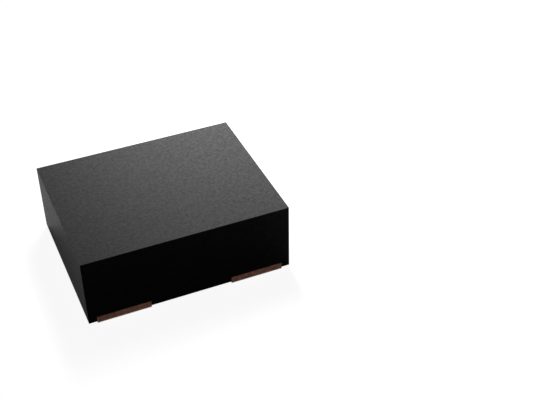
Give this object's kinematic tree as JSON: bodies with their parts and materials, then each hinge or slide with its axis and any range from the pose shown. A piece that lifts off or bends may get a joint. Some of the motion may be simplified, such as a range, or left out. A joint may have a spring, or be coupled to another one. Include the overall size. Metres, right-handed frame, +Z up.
{
  "type": "bulk acoustic wave oscillator",
  "caption": "Flat moulded surface-mount oscillator with tinned copper terminals under its corners, holding a resonator die wired on top of an oscillator die.",
  "frame": {"origin": "under the middle of the moulded body, on the seating plane where the terminals' tinned undersides lie", "axes": "+X along the body's length, +Y along its width, +Z up, away from the circuit board; terminal 1 is at -X -Y and the others follow anticlockwise seen from above"},
  "size_m": [0.0024, 0.002, 0.0009],
  "materials": {
    "mould_compound": "fine matte grain on the top and underside, sawn on the walls",
    "copper": "dull brown where etched, bare and streaked where sawn",
    "tin": "bright matte tin with faint streaks",
    "silicon": "polished silicon",
    "attach_film": "cured adhesive film",
    "gold": "drawn gold wire"
  },
  "bodies": {
    "root": {"moulded_body": "mould_compound", "terminal_1": "copper", "terminal_2": "copper", "terminal_3": "copper", "terminal_4": "copper", "tin_finish_1": "tin", "tin_finish_2": "tin", "tin_finish_3": "tin", "tin_finish_4": "tin", "oscillator_die_attach": "attach_film", "oscillator_die": "silicon", "resonator_die_attach": "attach_film", "resonator_die": "silicon", "terminal_wire_1": "gold", "terminal_wire_2": "gold", "terminal_wire_3": "gold", "terminal_wire_4": "gold", "resonator_wire_1": "gold", "resonator_wire_2": "gold", "resonator_wire_3": "gold"}
  },
  "joints": []
}
